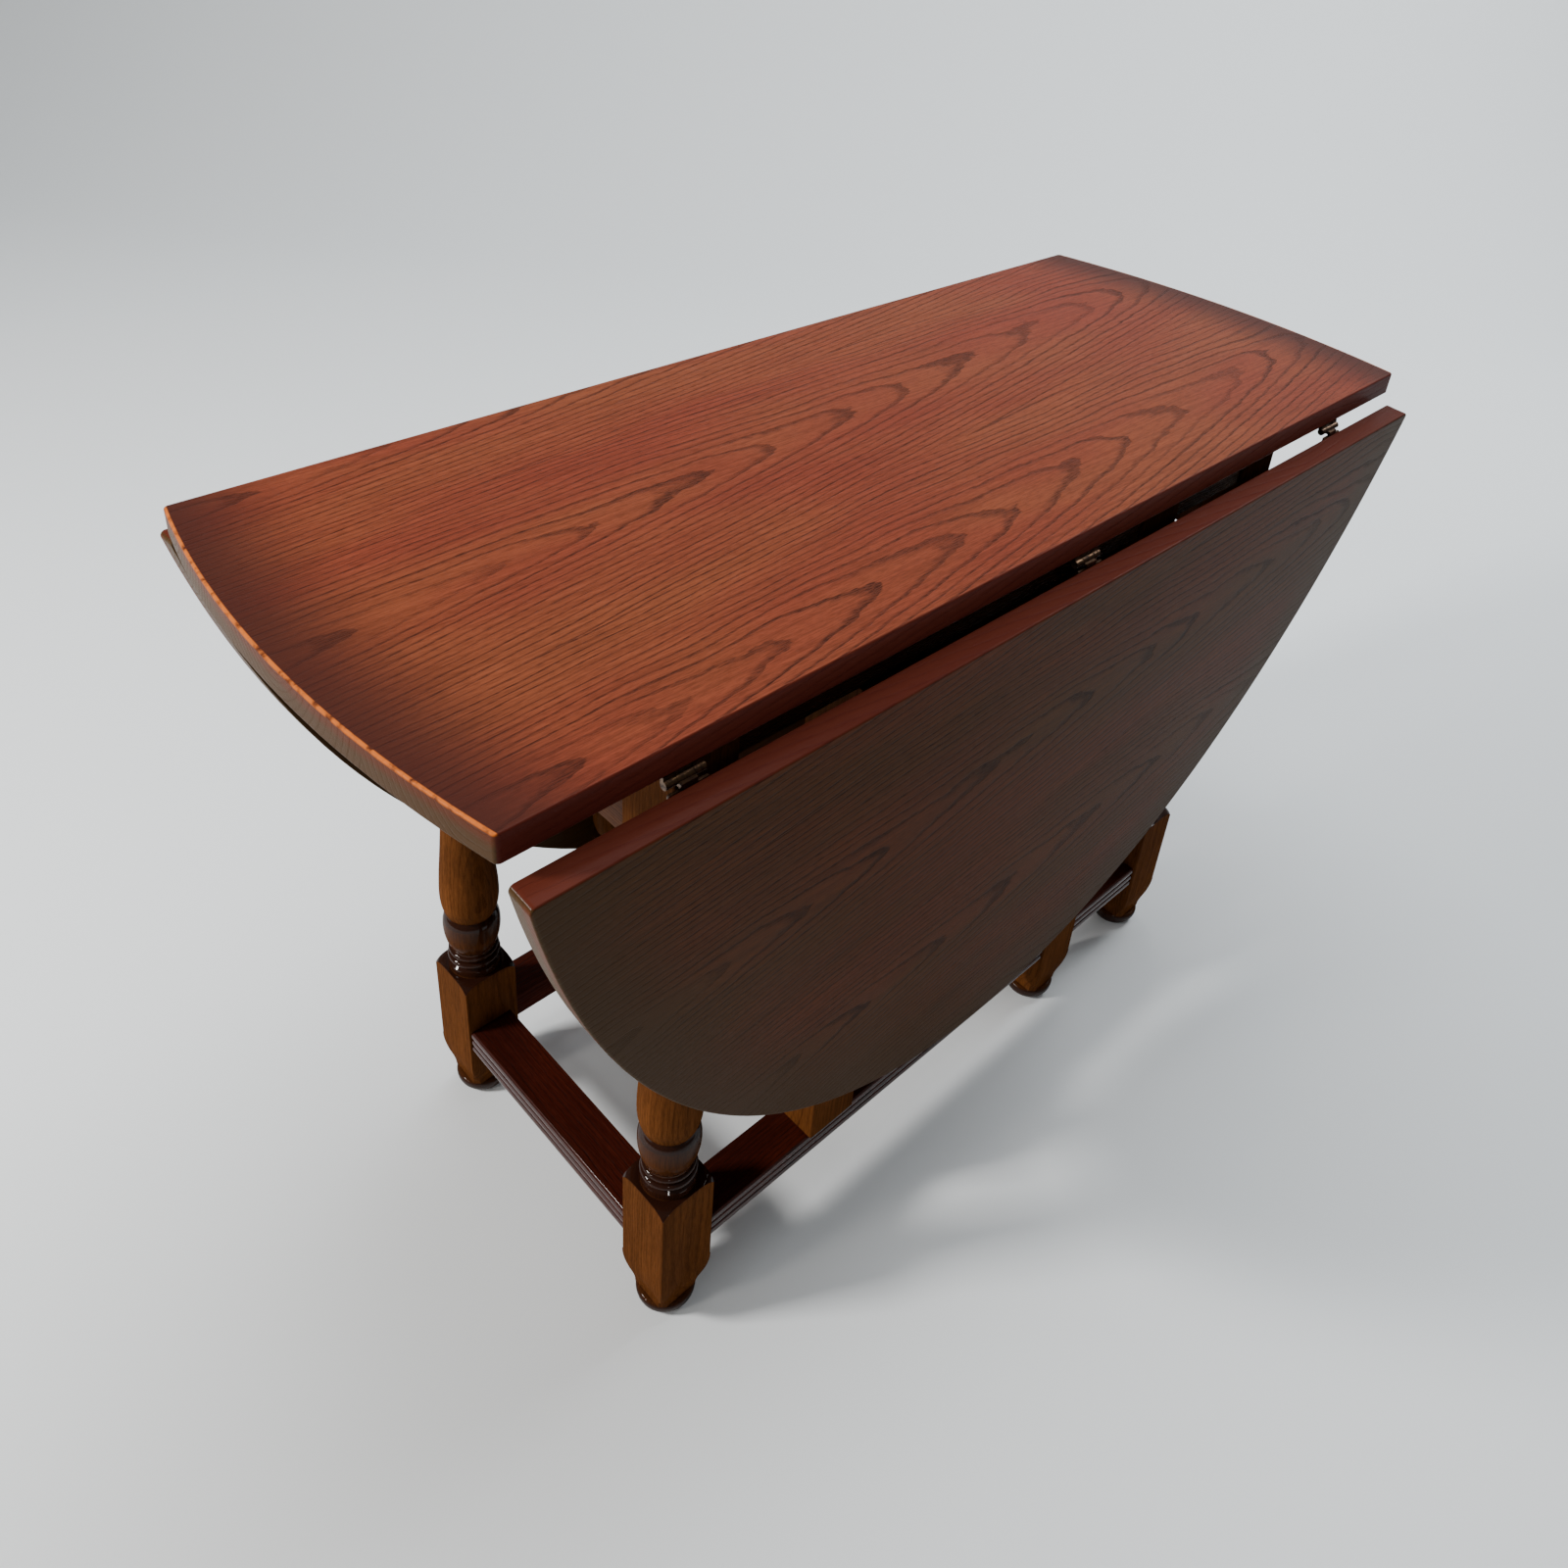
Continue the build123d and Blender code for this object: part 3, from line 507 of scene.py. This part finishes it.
def straight_finish(name, axis, warm, cool, matt):
    """The finish of a straight piece whose grain runs along axis, 0 for X and 1 for Y."""
    material, tree, shader, place, bump = new_finish(name, 0.03, 0.08, 0.02)
    parts = split_vector(tree, place)
    along, across = parts[axis], parts[1 - axis]
    grain = use_group(tree, grain_group, Along=along, Across=across, Depth=parts[2],
                      Leaf_Width=0.5, Ring=0.0030, Sink=0.02, Heart=0.05, Drift=0.02,
                      Seed=5.0 + axis)
    stain = use_group(tree, stain_group, Line=grain["Line"], Tone=grain["Tone"],
                      Streak=grain["Streak"], Pore=grain["Pore"], Warm=warm, Cool=cool,
                      Dark=stretcher_ring, Figure=0.75, Shade=0.0, Matt=matt)
    lay_wood(tree, shader, bump, stain, 0.0003)
    # The reeds face outwards, where the lacquer was rubbed bright.
    outer_face = leg_low.y if axis == 0 else leg_low.x
    out = add_math(tree, "SUBTRACT", abs(outer_face), add_math(tree, "ABSOLUTE", across))
    tree.links.new(add_range(tree, out, 0.0035, 0.0055, 0.9, 0.03), shader.inputs["Coat Weight"])
    return material


finish_for = {
    ("stretcher", 0): straight_finish("stretcher_finish_x", 0, stretcher_warm,
                                      stretcher_cool, 0.24),
    ("stretcher", 1): straight_finish("stretcher_finish_y", 1, stretcher_warm,
                                      stretcher_cool, 0.24),
    ("rail", 0): straight_finish("rail_finish_x", 0, rail_warm, rail_cool, 0.4),
    ("rail", 1): straight_finish("rail_finish_y", 1, rail_warm, rail_cool, 0.4)}
straight = [name for name in nodes if name.endswith(("stretcher", "rail"))]
for name in straight:
    axis = 1 if name.startswith(("left", "right")) else 0
    wear(name, finish_for[name.split("_")[-1], axis])
for name in ("top_glue_blocks", "front_gate_stop", "back_gate_stop"):
    wear(name, finish_for["rail", 0])
print("straight pieces", len(straight))


# %% [markdown]
# ## Metal
# The hinges are brass that has gone brown in the hollows and stays bright where it rubs.
# Screws are dull steel, and the pivot pins dark iron.

# %% Metal finishes
def metal_finish(name, bright, dull, roughness):
    """A tarnished metal, mixed from bright to dull by a fine blotchy noise."""
    material, tree, shader, place, bump = new_finish(name, 0.0, 0.1, 0.5)
    blotch = add_range(tree, add_noise(tree, place, 220.0, 4.0, 0.65), 0.35, 0.65)
    tree.links.new(add_mix(tree, blotch, bright, dull), shader.inputs["Base Color"])
    shader.inputs["Metallic"].default_value = 1.0
    rough = add_range(tree, blotch, 0.0, 1.0, roughness, roughness + 0.22)
    tree.links.new(rough, shader.inputs["Roughness"])
    tree.links.new(blotch, bump.inputs["Height"])
    bump.inputs["Distance"].default_value = 0.0001
    return material


brass_finish = metal_finish("aged_brass", (0.10, 0.055, 0.028, 1), (0.030, 0.016, 0.011, 1), 0.3)
steel_finish = metal_finish("dull_steel", (0.45, 0.42, 0.38, 1), (0.16, 0.13, 0.11, 1), 0.32)
iron_finish = metal_finish("dark_iron", (0.12, 0.11, 0.1, 1), (0.04, 0.035, 0.03, 1), 0.4)
metal_count = 0
for name in nodes:
    if name.endswith("screws"):
        wear(name, steel_finish)
    elif "hinge" in name:
        wear(name, brass_finish)
    elif name.endswith("pin"):
        wear(name, iron_finish)
    else:
        continue
    metal_count += 1
print("metal pieces", metal_count)

# %% [markdown]
# ## Floor
# The floor is one pale sheet that curves up far behind the table, so no corner shows.
# It starts as a row of points bent up at one end, extruded sideways.

# %% Floor
def stage_sheet(name, reach, rise_start, rise_radius):
    """A floor that turns up into a wall on the side away from the camera."""
    mesh = bmesh.new()
    away = Vector((-backward.x, -backward.y, 0)).normalized()
    side = Vector((away.y, -away.x, 0))
    row = [mesh.verts.new(away * -reach - side * reach)]
    row.append(mesh.verts.new(away * rise_start - side * reach))
    for step in range(1, 13):
        angle = math.radians(90) * step / 12
        out = rise_start + rise_radius * math.sin(angle)
        row.append(mesh.verts.new(away * out - side * reach
                                  + Vector((0, 0, rise_radius * (1 - math.cos(angle))))))
    row.append(mesh.verts.new(row[-1].co + Vector((0, 0, reach))))
    edges = [mesh.edges.new((a, b)) for a, b in zip(row, row[1:])]
    made = bmesh.ops.extrude_edge_only(mesh, edges=edges)
    moved = [v for v in made["geom"] if isinstance(v, bmesh.types.BMVert)]
    bmesh.ops.translate(mesh, verts=moved, vec=side * reach * 2)
    bmesh.ops.recalc_face_normals(mesh, faces=mesh.faces)
    for face in mesh.faces:
        face.smooth = True
    data = bpy.data.meshes.new(name)
    mesh.to_mesh(data)
    mesh.free()
    return bpy.data.objects.new(name, data)


floor = stage_sheet("floor", reach=6.0, rise_start=2.4, rise_radius=1.6)
bpy.context.scene.collection.objects.link(floor)
paper = bpy.data.materials.new("pale_floor")
paper.use_nodes = True
paper_shader = paper.node_tree.nodes["Principled BSDF"]
paper_shader.inputs["Base Color"].default_value = (0.79, 0.82, 0.84, 1)
paper_shader.inputs["Roughness"].default_value = 0.7
floor.data.materials.append(paper)
print("floor faces", len(floor.data.polygons))


# %% [markdown]
# ## Light
# The key light stands behind the near end, so the top is bright and the front leaf lies
# in shade. A wide light overhead and another past the far side light the floor evenly.
# Two small lights give the lacquer its glints: a low one at the near end for the legs
# there, and a faint one in front for the reeds and beads. A pale sky fills the shadows.

# %% Lights
def soft_light(name, place, aim, size, power, color):
    """A square area light that points at aim; size is in metres and power in watts."""
    data = bpy.data.lights.new(name, "AREA")
    data.size = size
    data.energy = power
    data.color = color
    light = bpy.data.objects.new(name, data)
    light.location = place
    light.rotation_euler = (Vector(aim) - Vector(place)).to_track_quat("-Z", "Y").to_euler()
    bpy.context.scene.collection.objects.link(light)


soft_light("key", (-2.7, 1.3, 2.2), (0, 0, 0.55), 0.5, 130, (1.0, 0.97, 0.93))
soft_light("overhead", (0.5, 0.6, 3.4), (0.3, 0.1, 0.5), 2.0, 65, (0.95, 0.98, 1.0))
soft_light("far_side", (3.0, -0.3, 3.0), (1.6, 1.2, 0.0), 1.6, 105, (0.95, 0.98, 1.0))
soft_light("near_end", (-3.2, 0.5, 1.5), (-0.4, 0, 0.3), 0.35, 22, (1.0, 0.95, 0.88))
soft_light("front_glint", (-1.7, -1.9, 2.3), (-0.3, -0.1, 0.2), 0.15, 4, (1.0, 0.97, 0.93))
sky = bpy.data.worlds.new("sky")
sky.use_nodes = True
backdrop = sky.node_tree.nodes["Background"]
backdrop.inputs["Color"].default_value = (0.92, 0.94, 0.95, 1)
backdrop.inputs["Strength"].default_value = 0.18
bpy.context.scene.world = sky
print("lights", len(bpy.data.lights))

# %% [markdown]
# ## Finish

# %% Finish
print("scene finished")
